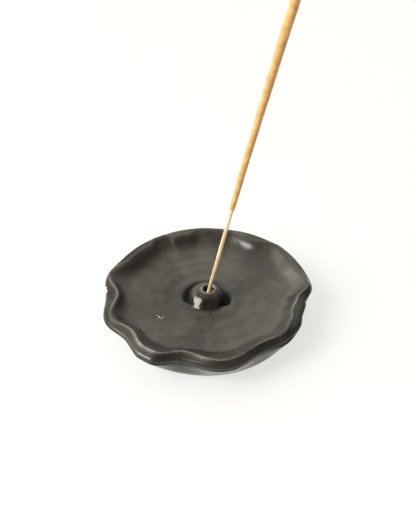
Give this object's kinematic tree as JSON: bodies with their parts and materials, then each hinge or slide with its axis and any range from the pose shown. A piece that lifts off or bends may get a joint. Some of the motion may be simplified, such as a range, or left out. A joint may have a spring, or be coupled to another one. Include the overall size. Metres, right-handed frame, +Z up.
{
  "type": "incense burner",
  "caption": "Round ceramic incense burner dish with a finger-fluted rim and a low central button that holds a leaning incense stick.",
  "frame": {"origin": "on the table under the middle of the dish", "axes": "+Z up, -Y towards the front of the dish, where the rim's fluting is deepest, +X to its right"},
  "size_m": [0.0993, 0.099, 0.224],
  "materials": {
    "dish_glaze": "satin charcoal glaze, thin and lighter along the rim's crest, bare clay on the foot",
    "holder_glaze": "satin charcoal glaze, bare tan clay inside the hole",
    "bamboo": "split bamboo, pale and fibrous",
    "incense_paste": "hand-rolled wood powder paste, dry, matt and grainy"
  },
  "bodies": {
    "dish": {"dish_body": "dish_glaze", "stick_holder": "holder_glaze"},
    "stick": {"bamboo_core": "bamboo", "incense_paste": "incense_paste"}
  },
  "joints": [
    {"name": "stick_lift", "type": "slide", "parent": "dish", "child": "stick", "axis": [0.1842, -0.1842, 0.9655], "range_m": [0, 0.03]}
  ]
}
